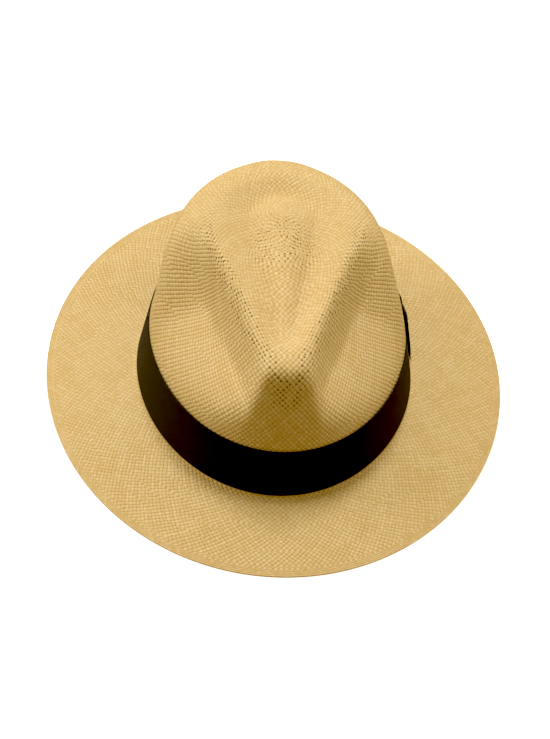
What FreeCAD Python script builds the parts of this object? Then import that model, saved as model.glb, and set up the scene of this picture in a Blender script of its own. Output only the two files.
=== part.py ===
"""Woven straw hat with a teardrop crown, a ribbon band with a flat side bow and a sweatband.

Millimetres. The origin is the centre of the head opening, level with the foot of the crown
at its front and back. +Z is up, the front of the hat looks along -Y, and +X is the
wearer's left, where the bow sits. An angle round the hat is 0 at the front and grows
towards +X.
"""

import FreeCAD, Part
import math
import os

# Head oval: the outside of the straw at the foot of the crown
HALF_LENGTH = 99.5
HALF_WIDTH = 84.2
LENGTH_TAPER = 0.122
WIDTH_TAPER = 0.171
TAPER_CURVE = 0.00023

# Straw
STRAW = 0.9
EDGE_EXTRA = 0.5
EDGE_BAND = 6.0

# Crown: the weave starts at its centre, which lies behind the middle of the oval
WEAVE_CENTRE_Y = 21.0
RAY_FOOT = 15.0
RIDGE_FRONT = 88.1
RIDGE_RISE = 15.8
REAR_ROUNDING = 17.0
NOSE_ROUNDING = 14.0
DENT_ROUNDING = 21.0
CROWN_LEAN = -2.4
NOSE_LEAN = 5.0
NOSE_LEAN_LOW = 30.0
NOSE_LEAN_HALF = 10.0
NOSE_LEAN_FLANK = 45.0
LEAN_LOW = 42.0
LEAN_HIGH = 88.0
NEAREST_RAY = 5.0
FARTHEST_RAY = 160.0
RAY_HALVINGS = 30

# Where the top's features begin and end along Y, and how wide the nose is
RIDGE_START_Y = -85.0
RIDGE_END_Y = 45.0
GROOVE_START_Y = -76.0
GROOVE_FULL_Y = -40.0
GROOVE_FADE_Y = 35.0
GROOVE_LOW_Y = 80.0
GROOVE_FADE = 0.55
GROOVE_WALL = 0.8
ISLAND_START_Y = -58.0
ISLAND_FULL_Y = 0.0
DENT_FADE_Y = -20.0
DENT_END_Y = 30.0
SLOPE_KEPT = 0.25
REAR_START_Y = 0.0
REAR_FULL_Y = 50.0
NOSE_START_Y = -60.0
NOSE_FULL_Y = -90.0
NOSE_HALF = 8.0
NOSE_FLANK = 30.0

# Teardrop ridge and the raised island inside it: centre and radius of each end
NOSE_Y = -76.5
NOSE_RADIUS = 10.5
REAR_Y = 24.4
REAR_RADIUS = 48.0
ISLAND_TIP_Y = -56.5
ISLAND_TIP_RADIUS = 1.5
ISLAND_REAR_Y = 33.0
ISLAND_REAR_RADIUS = 19.0
GROOVE_DEPTH = 6.0
ISLAND_RISE = 4.5

# Side dents that pinch the crown on each side of the nose
DENT_DEPTH = 21.5
DENT_SLOPE = 0.55
DENT_INNER = -4.5
DENT_OUTER = 10.0
PILLAR_HALF = 8.0
PILLAR_FLANK = 25.0

# Brim: width and height of its edge at the front, the sides and the back
BREAK_RADIUS = 3.0
BREAK_SIDE_RISE = 5.9
BREAK_LEVEL = -1.0
BRIM_FRONT = 50.3
BRIM_SIDE = 56.4
BRIM_BACK = 54.1
BRIM_LEFT_EXTRA = 1.0
EDGE_FRONT = -12.1
EDGE_SIDE = -1.5
EDGE_BACK = 5.9

# Ribbon band and bow
RIBBON = 0.5
RIBBON_HEIGHT = 32.8
RIBBON_GAP = 0.2
RIBBON_LIFT = 2.2
RIBBON_LAP = 14.0
BOW_ANGLE = 112.0
TAIL_LENGTH = 58.0
LOOP_LENGTH = 48.0
LOOP_HEIGHT = 30.0
KNOT_WIDTH = 15.0
LAYER_GAP = 0.15

# Sweatband
SWEATBAND = 0.8
SWEATBAND_HEIGHT = 32.0
SWEATBAND_LIFT = 1.0
SWEATBAND_GAP = 0.3
REED_RADIUS = 0.9
TAPE_WIDTH = 16.0
TAPE_THICKNESS = 0.4

# Thread
THREAD_RADIUS = 0.3
TACK_INSET = 1.5
BOW_TACK_INSET = 3.0
END_INSET = 2.0
SEAM_HEIGHT = 2.5
TAPE_SEAM_START = 4.0
SEAM_STOP = 0.02
STITCH_PITCH = 5.0
STITCH_LENGTH = 3.2
TACK_LENGTH = 2.4
BAND_TACKS = 6

# How finely the curved pieces are drawn
MERIDIANS = 96
CROWN_ROWS = 40
BREAK_ROWS = 4
BRIM_ROWS = 6
BOW_STEPS = 12
TAPE_STEPS = 6
REED_CORNERS = 6
TURN = 2 * math.pi


def smooth(low, high, value):
    """0 below low, 1 above high and an even S-curve between them."""
    share = min(1.0, max(0.0, (value - low) / (high - low)))
    return share * share * (3 - 2 * share)


def soft_max(first, second, reach):
    """The larger of two values, rounded off where they are closer than reach."""
    near = max(reach - abs(first - second), 0.0) / reach
    return max(first, second) + near ** 3 * reach / 6


def round_hat(front, side, back, angle):
    """A value that runs evenly from the front through the side to the back."""
    mean = (front + 2 * side + back) / 4
    tilt = (front - back) / 2
    bow = (front - 2 * side + back) / 4
    return mean + tilt * math.cos(angle) + bow * math.cos(2 * angle)


def teardrop(x, y, tip_y, tip_radius, rear_y, rear_radius):
    """Distance to the outline round two circles on the centre line, negative inside."""
    length = rear_y - tip_y
    lean = (tip_radius - rear_radius) / length
    rise = math.sqrt(1 - lean * lean)
    across = abs(x)
    along = y - tip_y
    place = rise * along - lean * across
    if place < 0:
        return math.hypot(across, along) - tip_radius
    if place > rise * length:
        return math.hypot(across, along - length) - rear_radius
    return rise * across + lean * along - tip_radius


def oval_axes(z):
    """Half length and half width of the crown wall at a height."""
    curve = TAPER_CURVE * z * z
    return HALF_LENGTH - LENGTH_TAPER * z - curve, HALF_WIDTH - WIDTH_TAPER * z - curve


def wall_distance(x, y, z):
    """Distance outside the crown wall, whose front leans back towards the nose."""
    length, width = oval_axes(z)
    if y < 0:
        share = 1 - smooth(NOSE_LEAN_HALF, NOSE_LEAN_FLANK, abs(x))
        length -= NOSE_LEAN * share * smooth(NOSE_LEAN_LOW, LEAN_HIGH, z)
    x -= CROWN_LEAN * smooth(LEAN_LOW, LEAN_HIGH, z)
    reach = math.hypot(x, y)
    share = math.hypot(x / width, y / length)
    return reach - reach / share


def ridge_height(y):
    """Height of the ridge line, lower at the nose than at the back."""
    return RIDGE_FRONT + RIDGE_RISE * smooth(RIDGE_START_Y, RIDGE_END_Y, y)


def groove_drop(x, y, outside):
    """How far the top lies below the ridge line inside the teardrop."""
    faded = 1 - GROOVE_FADE * smooth(GROOVE_FADE_Y, GROOVE_LOW_Y, y)
    depth = GROOVE_DEPTH * smooth(GROOVE_START_Y, GROOVE_FULL_Y, y) * faded
    island = teardrop(x, y, ISLAND_TIP_Y, ISLAND_TIP_RADIUS, ISLAND_REAR_Y, ISLAND_REAR_RADIUS)
    if island > 0:
        share = island / (island - min(outside, -0.001))
        return depth * (1 - smooth(0.0, GROOVE_WALL, share))
    along = min(1.0, max(0.0, (y - ISLAND_TIP_Y) / (ISLAND_REAR_Y - ISLAND_TIP_Y)))
    radius = ISLAND_TIP_RADIUS + (ISLAND_REAR_RADIUS - ISLAND_TIP_RADIUS) * along
    inward = min(1.0, -island / radius)
    return depth - ISLAND_RISE * inward * (2 - inward) * smooth(ISLAND_START_Y, ISLAND_FULL_Y, y)


def top_height(x, y):
    """Height of the crown's top: ridge, groove, island and the two side dents."""
    outside = teardrop(x, y, NOSE_Y, NOSE_RADIUS, REAR_Y, REAR_RADIUS)
    beside_nose = smooth(PILLAR_HALF, PILLAR_FLANK, abs(x))
    fade = 1 - smooth(DENT_FADE_Y, DENT_END_Y, y)
    dent = DENT_DEPTH * fade * beside_nose * smooth(DENT_INNER, DENT_OUTER, outside)
    steepness = DENT_SLOPE * (SLOPE_KEPT + (1 - SLOPE_KEPT) * fade)
    slope = steepness * max(outside, 0.0) * beside_nose
    return ridge_height(y) - groove_drop(x, y, outside) - dent - slope


def crown_distance(x, y, z):
    """Negative inside the crown and positive outside it."""
    reach = DENT_ROUNDING + (REAR_ROUNDING - DENT_ROUNDING) * smooth(REAR_START_Y, REAR_FULL_Y, y)
    nose = smooth(NOSE_START_Y, NOSE_FULL_Y, y) * (1 - smooth(NOSE_HALF, NOSE_FLANK, abs(x)))
    reach += (NOSE_ROUNDING - reach) * nose
    return soft_max(wall_distance(x, y, z), z - top_height(x, y), reach)


def oval_point(angle, z, offset):
    """A point on the head oval at a height, moved outwards by offset."""
    length, width = oval_axes(z)
    out_x, out_y = outward(angle)
    x = width * math.sin(angle) + offset * out_x
    y = -length * math.cos(angle) + offset * out_y
    return FreeCAD.Vector(x, y, z)


def outward(angle):
    """Level direction square to the head oval."""
    x = HALF_LENGTH * math.sin(angle)
    y = -HALF_WIDTH * math.cos(angle)
    size = math.hypot(x, y)
    return x / size, y / size


def break_height(angle):
    """Height at which the brim leaves the crown."""
    return BREAK_LEVEL + BREAK_SIDE_RISE * math.sin(angle) ** 2


def crown_point(angle, share):
    """A point on the crown, share of the way from the weave centre to its foot."""
    foot = oval_point(angle, break_height(angle) + BREAK_RADIUS, 0)
    run_x = foot.x
    run_y = foot.y - WEAVE_CENTRE_Y
    run = math.hypot(run_x, run_y)
    steepest = math.pi / 2 + math.atan2(RAY_FOOT - foot.z, run)
    turn = steepest * share
    step_x = math.sin(turn) * run_x / run
    step_y = math.sin(turn) * run_y / run
    step_z = math.cos(turn)
    near = NEAREST_RAY
    far = FARTHEST_RAY
    for _ in range(RAY_HALVINGS):
        middle = (near + far) / 2
        x = middle * step_x
        y = WEAVE_CENTRE_Y + middle * step_y
        if crown_distance(x, y, RAY_FOOT + middle * step_z) < 0:
            near = middle
        else:
            far = middle
    return FreeCAD.Vector(near * step_x, WEAVE_CENTRE_Y + near * step_y, RAY_FOOT + near * step_z)


def brim_width(angle):
    """Width of the brim, which is a little wider on the wearer's left."""
    return round_hat(BRIM_FRONT, BRIM_SIDE, BRIM_BACK, angle) + BRIM_LEFT_EXTRA * math.sin(angle)


def brim_point(angle, width):
    """A point on the brim's upper face, width out from the crown's foot."""
    out_x, out_y = outward(angle)
    low = break_height(angle)
    foot = oval_point(angle, low + BREAK_RADIUS, 0)
    full = brim_width(angle)
    edge = round_hat(EDGE_FRONT, EDGE_SIDE, EDGE_BACK, angle)
    z = low + (edge - low) * max(0.0, width - BREAK_RADIUS) / (full - BREAK_RADIUS)
    if width < BREAK_RADIUS:
        z = low + BREAK_RADIUS - math.sqrt(BREAK_RADIUS ** 2 - (BREAK_RADIUS - width) ** 2)
    return FreeCAD.Vector(foot.x + width * out_x, foot.y + width * out_y, z)


def meridian(angle):
    """Points from just beside the weave centre down the crown and out to the brim's edge."""
    points = [crown_point(angle, row / CROWN_ROWS) for row in range(1, CROWN_ROWS + 1)]
    for row in range(1, BREAK_ROWS + 1):
        turn = math.pi / 2 * row / BREAK_ROWS
        points.append(brim_point(angle, BREAK_RADIUS * (1 - math.cos(turn))))
    full = brim_width(angle)
    inner = full - EDGE_BAND
    for row in range(1, BRIM_ROWS + 1):
        points.append(brim_point(angle, BREAK_RADIUS + (inner - BREAK_RADIUS) * row / BRIM_ROWS))
    points.append(brim_point(angle, full))
    return points


def inner_face(grid):
    """The same grid moved inwards by the straw's thickness, square to the surface."""
    rows = len(grid[0])
    moved = []
    for column in range(MERIDIANS):
        left = grid[column - 1]
        right = grid[(column + 1) % MERIDIANS]
        line = []
        for row in range(rows):
            above = grid[column][max(row - 1, 0)]
            below = grid[column][min(row + 1, rows - 1)]
            normal = (right[row] - left[row]).cross(above - below)
            normal.normalize()
            thickness = STRAW + EDGE_EXTRA * (row >= rows - 2)
            line.append(grid[column][row] - normal * thickness)
        moved.append(line)
    return moved


def ring(points):
    """Closed smooth curve through points, evenly spaced in its parameter."""
    curve = Part.BSplineCurve()
    steps = [float(step) for step in range(len(points) + 1)]
    curve.interpolate(Points=points, PeriodicFlag=True, Parameters=steps)
    return curve.toShape()


def line_through(points):
    """Open smooth curve through points, evenly spaced in its parameter."""
    curve = Part.BSplineCurve()
    steps = [float(step) for step in range(len(points))]
    curve.interpolate(Points=points, Parameters=steps)
    return curve.toShape()


def solid_from(faces):
    """One closed solid from faces that meet edge to edge."""
    shell = Part.makeShell(faces)
    shell.sewShape()
    solid = Part.Solid(Part.Shell(shell.Faces))
    if solid.Volume < 0:
        solid.reverse()
    return solid


def hat_body():
    """Crown and brim, woven in one piece from the centre of the crown."""
    grid = [meridian(TURN * column / MERIDIANS) for column in range(MERIDIANS)]
    inside = inner_face(grid)
    apex = crown_point(0.0, 0.0)
    sections = [Part.Vertex(apex)]
    for row in range(len(grid[0])):
        sections.append(Part.Wire(ring([line[row] for line in grid])))
    for row in reversed(range(len(grid[0]))):
        sections.append(Part.Wire(ring([line[row] for line in inside])))
    sections.append(Part.Vertex(apex - FreeCAD.Vector(0, 0, STRAW)))
    return Part.makeLoft(sections, True, True)


def wrap(inner, outer, low, high):
    """Closed ring on the crown wall, from one offset to another and one height to another."""
    edges = []
    for offset, height in ((inner, low), (outer, low), (outer, high), (inner, high)):
        points = []
        for column in range(MERIDIANS):
            angle = TURN * column / MERIDIANS
            points.append(oval_point(angle, height(angle), offset))
        edges.append(ring(points))
    sides = [Part.makeRuledSurface(edges[side - 1], edges[side]) for side in range(4)]
    return solid_from(sides)


def strip(first, last, steps, inner, outer, low, high):
    """Flat length of ribbon laid on the crown wall between two angles."""
    corners = ((inner, low), (outer, low), (outer, high), (inner, high))
    edges = []
    for offset, height in corners:
        points = []
        for step in range(steps + 1):
            angle = first + (last - first) * step / steps
            points.append(oval_point(angle, height(angle), offset(angle)))
        edges.append(line_through(points))
    faces = [Part.makeRuledSurface(edges[side - 1], edges[side]) for side in range(4)]
    for end in (0, 1):
        loop = [edge.valueAt(edge.ParameterRange[end]) for edge in edges]
        faces.append(Part.Face(Part.makePolygon(loop + loop[:1])))
    return solid_from(faces)


def ribbon_low(angle):
    """Height of the ribbon's lower edge."""
    return break_height(angle) + RIBBON_LIFT


def ribbon_high(angle):
    """Height of the ribbon's upper edge."""
    return ribbon_low(angle) + RIBBON_HEIGHT


def hat_band():
    """Ribbon round the crown, whose outer end laps over its inner end under the bow."""
    middle = math.radians(BOW_ANGLE)
    lap = RIBBON_LAP / HALF_LENGTH
    first = middle - lap / 2
    last = first + TURN + lap

    def inner(angle):
        return RIBBON_GAP + (RIBBON + LAYER_GAP) * smooth(last - 2 * lap, last - lap, angle)

    def outer(angle):
        return inner(angle) + RIBBON

    return strip(first, last, MERIDIANS, inner, outer, ribbon_low, ribbon_high)


def bow_layer(length, height, inner, outer):
    """One flat layer of the bow, centred on the bow's place on the band."""
    middle = math.radians(BOW_ANGLE)
    half = length / 2 / HALF_LENGTH
    margin = (RIBBON_HEIGHT - height) / 2

    def low(angle):
        return ribbon_low(middle) + margin

    def high(angle):
        return ribbon_low(middle) + margin + height

    return strip(middle - half, middle + half, BOW_STEPS, lambda a: inner, lambda a: outer, low, high)


def bow_levels():
    """Offsets of the bow's faces from the straw: band, tail, loop and knot in turn."""
    tail = RIBBON_GAP + 2 * (RIBBON + LAYER_GAP)
    loop = tail + RIBBON + LAYER_GAP
    knot = loop + 2 * RIBBON + 2 * LAYER_GAP
    return tail, loop, knot


def bow_tail():
    """Flat length of ribbon behind the loop, whose two ends show past it."""
    tail, _, _ = bow_levels()
    return bow_layer(TAIL_LENGTH, RIBBON_HEIGHT, tail, tail + RIBBON)


def bow_loop():
    """Ribbon folded flat into a double layer, closed at both ends."""
    _, loop, knot = bow_levels()
    return bow_layer(LOOP_LENGTH, LOOP_HEIGHT, loop, knot - LAYER_GAP)


def bow_knot():
    """Narrow length of ribbon that wraps the middle of the bow."""
    _, _, knot = bow_levels()
    return bow_layer(KNOT_WIDTH, RIBBON_HEIGHT, knot, knot + RIBBON)


def inside_offset():
    """Offset of the sweatband's outer face from the outside of the straw."""
    return -STRAW - SWEATBAND_GAP


def sweat_low(angle):
    """Height of the sweatband's lower edge."""
    return break_height(angle) + SWEATBAND_LIFT


def sweat_high(angle):
    """Height of the sweatband's upper edge."""
    return sweat_low(angle) + SWEATBAND_HEIGHT


def sweatband():
    """Leather band against the inside of the crown wall."""
    outer = inside_offset()
    return wrap(outer - SWEATBAND, outer, sweat_low, sweat_high)


def sweatband_reed():
    """Cloth-covered reed under the sweatband's lower edge."""
    offset = inside_offset() - REED_RADIUS
    points = []
    for column in range(MERIDIANS):
        angle = TURN * column / MERIDIANS
        points.append(oval_point(angle, sweat_low(angle) - REED_RADIUS, offset))
    edges = []
    for corner in range(REED_CORNERS):
        turn = TURN * corner / REED_CORNERS
        side = []
        for column, point in enumerate(points):
            out_x, out_y = outward(TURN * column / MERIDIANS)
            reach = REED_RADIUS * math.cos(turn)
            lift = REED_RADIUS * math.sin(turn)
            side.append(point + FreeCAD.Vector(reach * out_x, reach * out_y, lift))
        edges.append(ring(side))
    sides = [Part.makeRuledSurface(edges[side - 1], edges[side]) for side in range(REED_CORNERS)]
    return solid_from(sides)


def sweatband_joint_tape():
    """Tape sewn over the butt joint of the sweatband at the back of the head."""
    half = TAPE_WIDTH / 2 / HALF_WIDTH
    outer = inside_offset() - SWEATBAND - SWEATBAND_GAP
    inner = outer - TAPE_THICKNESS
    return strip(
        math.pi - half, math.pi + half, TAPE_STEPS, lambda a: inner, lambda a: outer, sweat_low, sweat_high
    )


def stitch(angle, z, offset, length, upright):
    """Short round thread lying on a face, level or upright."""
    middle = oval_point(angle, z, offset)
    out_x, out_y = outward(angle)
    along = FreeCAD.Vector(0, 0, 1) if upright else FreeCAD.Vector(-out_y, out_x, 0)
    return Part.makeCylinder(THREAD_RADIUS, length, middle - along * (length / 2), along)


def sweatband_stitches():
    """Row of lockstitches that holds the sweatband just above its lower edge."""
    count = round(TURN * (HALF_LENGTH + HALF_WIDTH) / 2 / STITCH_PITCH)
    offset = inside_offset() - SWEATBAND - THREAD_RADIUS
    tape_edge = TAPE_WIDTH / 2 / HALF_WIDTH + SEAM_STOP
    stitches = []
    for number in range(count):
        angle = TURN * (number + 0.5) / count
        if abs(angle - math.pi) > tape_edge:
            z = sweat_low(angle) + SEAM_HEIGHT
            stitches.append(stitch(angle, z, offset, STITCH_LENGTH, False))
    return Part.makeCompound(stitches)


def tape_stitches():
    """Two upright rows of stitches along the joint tape."""
    offset = inside_offset() - SWEATBAND - SWEATBAND_GAP - TAPE_THICKNESS - THREAD_RADIUS
    half = (TAPE_WIDTH / 2 - END_INSET) / HALF_WIDTH
    rows = int((SWEATBAND_HEIGHT - TAPE_SEAM_START) / STITCH_PITCH)
    stitches = []
    for side in (-1, 1):
        angle = math.pi + side * half
        for row in range(rows):
            z = sweat_low(angle) + TAPE_SEAM_START + row * STITCH_PITCH
            stitches.append(stitch(angle, z, offset, STITCH_LENGTH, True))
    return Part.makeCompound(stitches)


def band_tacks():
    """Small upright stitches that tie the ribbon's upper edge to the straw."""
    offset = RIBBON_GAP + RIBBON + THREAD_RADIUS
    tacks = []
    for number in range(BAND_TACKS):
        angle = math.radians(BOW_ANGLE) + TURN * (number + 1) / (BAND_TACKS + 1)
        tacks.append(stitch(angle, ribbon_high(angle) - TACK_INSET, offset, TACK_LENGTH, True))
    return Part.makeCompound(tacks)


def bow_tacks():
    """Stitches that hold the bow's tail at its four corners."""
    tail, _, _ = bow_levels()
    half = (TAIL_LENGTH / 2 - END_INSET) / HALF_LENGTH
    offset = tail + RIBBON + THREAD_RADIUS
    middle = math.radians(BOW_ANGLE)
    tacks = []
    for side in (-1, 1):
        for z in (ribbon_low(middle) + BOW_TACK_INSET, ribbon_high(middle) - BOW_TACK_INSET):
            tacks.append(stitch(middle + side * half, z, offset, TACK_LENGTH, True))
    return Part.makeCompound(tacks)


PIECES = (
    hat_body,
    hat_band,
    band_tacks,
    bow_tail,
    bow_loop,
    bow_knot,
    bow_tacks,
    sweatband,
    sweatband_reed,
    sweatband_joint_tape,
    sweatband_stitches,
    tape_stitches,
)

os.makedirs("parts", exist_ok=True)
for piece in PIECES:
    shape = piece()
    print(piece.__name__, "solids", len(shape.Solids), "valid", shape.isValid(), round(shape.Volume))
    shape.exportStep("parts/" + piece.__name__ + ".step")
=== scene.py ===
"""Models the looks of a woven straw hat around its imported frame.

Metres, in the frame's own axes: +Z up, the front of the hat along -Y, and the bow on +X.
"""

import math

import bpy
import numpy as np
from bpy.props import FloatProperty, FloatVectorProperty, PointerProperty
from bpy.types import Operator, Panel, PropertyGroup
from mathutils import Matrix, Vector


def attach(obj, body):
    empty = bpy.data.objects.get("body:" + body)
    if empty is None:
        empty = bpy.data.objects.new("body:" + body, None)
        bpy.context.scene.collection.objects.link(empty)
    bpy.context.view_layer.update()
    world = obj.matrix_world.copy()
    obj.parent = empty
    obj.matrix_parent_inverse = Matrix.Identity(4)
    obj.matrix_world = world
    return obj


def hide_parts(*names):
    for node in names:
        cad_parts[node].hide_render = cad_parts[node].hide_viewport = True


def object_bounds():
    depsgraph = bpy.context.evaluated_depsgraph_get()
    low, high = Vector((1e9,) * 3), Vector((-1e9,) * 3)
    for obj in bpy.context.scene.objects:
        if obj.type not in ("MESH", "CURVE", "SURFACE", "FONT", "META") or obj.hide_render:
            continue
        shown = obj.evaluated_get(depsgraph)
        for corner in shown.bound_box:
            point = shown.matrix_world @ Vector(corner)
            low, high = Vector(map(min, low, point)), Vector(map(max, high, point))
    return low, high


bl_info = {
    "name": "Straw Hat Maker",
    "version": (1, 0, 0),
    "blender": (4, 5, 0),
    "location": "View3D > Sidebar > Straw Hat",
    "description": "Models a woven straw hat with a ribbon, a bow and a sweatband",
    "category": "Object",
}

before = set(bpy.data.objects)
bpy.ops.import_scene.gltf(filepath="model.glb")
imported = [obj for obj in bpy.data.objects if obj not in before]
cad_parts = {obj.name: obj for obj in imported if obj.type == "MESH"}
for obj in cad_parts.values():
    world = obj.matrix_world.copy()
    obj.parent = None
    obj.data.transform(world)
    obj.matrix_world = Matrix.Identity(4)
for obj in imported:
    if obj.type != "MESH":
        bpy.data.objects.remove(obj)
CAD_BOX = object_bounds()

MM = 0.001
TURN = 2 * math.pi

# Crown shape: the frame's own formula
HALF_LENGTH = 99.5 * MM
HALF_WIDTH = 84.2 * MM
LENGTH_TAPER = 0.122
WIDTH_TAPER = 0.171
TAPER_CURVE = 0.23
WEAVE_CENTRE_Y = 21.0 * MM
RAY_FOOT = 15.0 * MM
REAR_ROUNDING = 17.0 * MM
NOSE_ROUNDING = 14.0 * MM
DENT_ROUNDING = 21.0 * MM
CROWN_LEAN = -2.4 * MM
NOSE_LEAN = 5.0 * MM
NOSE_LEAN_LOW = 30 * MM
NOSE_LEAN_HALF = 10 * MM
NOSE_LEAN_FLANK = 45 * MM
LEAN_LOW = 42 * MM
LEAN_HIGH = 88 * MM
NEAREST_RAY = 5 * MM
FARTHEST_RAY = 160 * MM
RAY_HALVINGS = 24
RAY_STEPS = 360

# Teardrop ridge, the raised island inside it and the side dents
NOSE_Y = -76.5 * MM
NOSE_RADIUS = 10.5 * MM
REAR_Y = 24.4 * MM
REAR_RADIUS = 48.0 * MM
ISLAND_TIP_Y = -56.5 * MM
ISLAND_TIP_RADIUS = 1.5 * MM
ISLAND_REAR_Y = 33.0 * MM
ISLAND_REAR_RADIUS = 19.0 * MM
DENT_SLOPE = 0.55
DENT_INNER = -4.5 * MM
DENT_OUTER = 10 * MM
PILLAR_HALF = 8 * MM
PILLAR_FLANK = 25 * MM

# Where the top's features begin and end along Y, and how wide the nose is
RIDGE_START_Y = -85 * MM
RIDGE_END_Y = 45 * MM
GROOVE_START_Y = -76 * MM
GROOVE_FULL_Y = -40 * MM
GROOVE_FADE_Y = 35 * MM
GROOVE_LOW_Y = 80 * MM
GROOVE_FADE = 0.55
GROOVE_WALL = 0.8
ISLAND_START_Y = -58 * MM
DENT_FADE_Y = -20 * MM
DENT_END_Y = 30 * MM
SLOPE_KEPT = 0.25
REAR_FULL_Y = 50 * MM
NOSE_START_Y = -60 * MM
NOSE_FULL_Y = -90 * MM
NOSE_HALF = 8 * MM
NOSE_FLANK = 30 * MM

# Brim, and how the ribbon and the sweatband lie on the crown
BREAK_RADIUS = 3.0 * MM
BREAK_LEVEL = -1.0 * MM
BREAK_SIDE_RISE = 5.9 * MM
EDGE_SIDE = -1.5 * MM
EDGE_BACK = 5.9 * MM
BRIM_LEFT_EXTRA = 1.0 * MM
RIBBON_LIFT = 2.2 * MM
RIBBON_GAP = 0.2 * MM
LAYER_GAP = 0.15 * MM
BOW_ANGLE = math.radians(112)
SWEATBAND_LIFT = 1.0 * MM
SWEATBAND_GAP = 0.3 * MM

# Bow: how far its layers stand off one another
TAIL_END_LIFT = 0.15 * MM
LOOP_FULLNESS = 0.18 * MM
LOOP_FREE_FULLNESS = 0.14 * MM
LOOP_HELD = 5 * MM
LOOP_FREE = 22 * MM
GATHER_DEPTH = 0.1 * MM
GATHERS = 3.5
GATHERED_HEIGHT = 0.88
KNOT_OVERHANG = 0.5 * MM
KNOT_LIFT = 0.3 * MM
PLEATS = 3
KNOT_NARROWEST = 0.9

# Sweatband: the play between the leather, the tape and the joint
LEATHER_LIFT = 0.1 * MM
LEATHER_EASE = 0.35 * MM
LEATHER_JOINT = 0.2 * MM
LEATHER_BEVEL = 0.25 * MM
TAPE_LIFT = 0.6 * MM

# Thread
THREAD_RADIUS = 0.3 * MM
STITCH_PITCH = 5.0 * MM
STITCH_LENGTH = 3.2 * MM
STITCH_SIDES = 8
STITCH_SINK = 1.2
TACK_LENGTH = 2.4 * MM
BAND_TACKS = 6
TACK_INSET = 1.5 * MM
BOW_TACK_INSET = 3 * MM
END_INSET = 2 * MM
SEAM_HEIGHT = 2.5 * MM
TAPE_SEAM_START = 4 * MM
SEAM_STOP = 0.02

# Where the strands part: along the front of the ridge and round the centre of the weave
LEAST_OPEN = 0.12
OPEN_FRONT_Y = 10 * MM
OPEN_END_Y = 45 * MM
OPEN_LINE = 2 * MM
OPEN_LINE_HALF = 2 * MM
OPEN_LINE_FADE = 7 * MM
OPEN_CENTRE_Y = 12 * MM
OPEN_CENTRE = 8 * MM
OPEN_CENTRE_FADE = 34 * MM
OPEN_LOWEST = 60 * MM

# Weave: the shortest round that is counted, and how much a strand may widen before one is added
SHORTEST_ROUND = 6 * MM
WIDENING = 0.07

# Mesh fineness
COLUMNS = 256
CROWN_ROWS = 116
BREAK_ROWS = 6
BRIM_ROWS = 40
ROUND_COLUMNS = 384
BAND_ROWS = 12
SHEET_ROWS = 16
TAIL_COLUMNS = 48
LOOP_COLUMNS = 120
KNOT_ROWS = 40
REED_CORNERS = 12
TAPE_COLUMNS = 12

# Stage: places in metres, and a camera that looks down at the hat from its front
KEY_PLACE = (0.0, 0.44, 1.58)
KEY_WIDTH = 0.45
LEFT_PLACE = (-1.45, 0.2, 0.64)
RIGHT_PLACE = (1.5, 0.0, 0.59)
SIDE_WIDTH = 0.8
LIT_POINT = (0, 0, 0.04)
FLOOR_GAP = 0.2 * MM
FLOOR_GLOW = 0.85
WORLD_STRENGTH = 0.34
CAMERA_ELEVATION = math.radians(44.989)
CAMERA_TURN = math.radians(-5.735)
CAMERA_ROLL = math.radians(5.784)
CAMERA_TARGET = (0, 0, 0.0343)
CAMERA_DISTANCE = 1.3942
CAMERA_LENS = 112.8
CAMERA_SENSOR = 36.0
CAMERA_SHIFT_X = -0.0029
CAMERA_SHIFT_Y = -0.0485
CAMERA_REACH = 50


def linear(code):
    """An sRGB hex colour as linear red, green, blue and alpha."""
    values = [int(code[place:place + 2], 16) / 255 for place in (0, 2, 4)]
    return [v / 12.92 if v <= 0.04045 else ((v + 0.055) / 1.055) ** 2.4 for v in values] + [1.0]


def size(name, description, default):
    """A length setting in metres."""
    return FloatProperty(
        name=name, description=description, default=default, min=0.0, unit="LENGTH", subtype="DISTANCE"
    )


def colour(name, description, code):
    """A colour setting."""
    return FloatVectorProperty(
        name=name, description=description, default=linear(code), size=4, min=0, max=1, subtype="COLOR"
    )


class StrawSettings(PropertyGroup):
    """Sizes and colours of the woven straw body."""

    thickness: size("Thickness", "Thickness of the woven straw", 0.9 * MM)
    nose_height: size("Nose Height", "Height of the crown's ridge at the nose", 88.1 * MM)
    ridge_rise: size("Ridge Rise", "How much higher the ridge is at the back", 15.8 * MM)
    groove_depth: size("Groove Depth", "Depth of the groove inside the ridge", 6.0 * MM)
    island_rise: size("Island Rise", "Height of the teardrop in the groove", 4.5 * MM)
    dent_depth: size("Dent Depth", "Depth of the two side dents", 21.5 * MM)
    brim_front: size("Brim Front", "Brim width at the front", 50.3 * MM)
    brim_side: size("Brim Side", "Brim width at the sides", 56.4 * MM)
    brim_back: size("Brim Back", "Brim width at the back", 54.1 * MM)
    front_drop: size("Front Drop", "How far the brim's edge dips at the front", 12.1 * MM)
    pitch: size("Weave Pitch", "Distance from one straw strand to the next", 2.1 * MM)
    edge_band: size("Edge Band", "Width of the back-woven edge", 4.0 * MM)
    light: colour("Light Straw", "Colour of the paler strands", "F2D8A5")
    deep: colour("Deep Straw", "Colour of the riper strands", "E2C183")
    # Colour of the gaps between strands, also used as painted shade in the valleys between them
    gap: colour("Gap", "Colour between the strands", "8A5C12")


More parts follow.
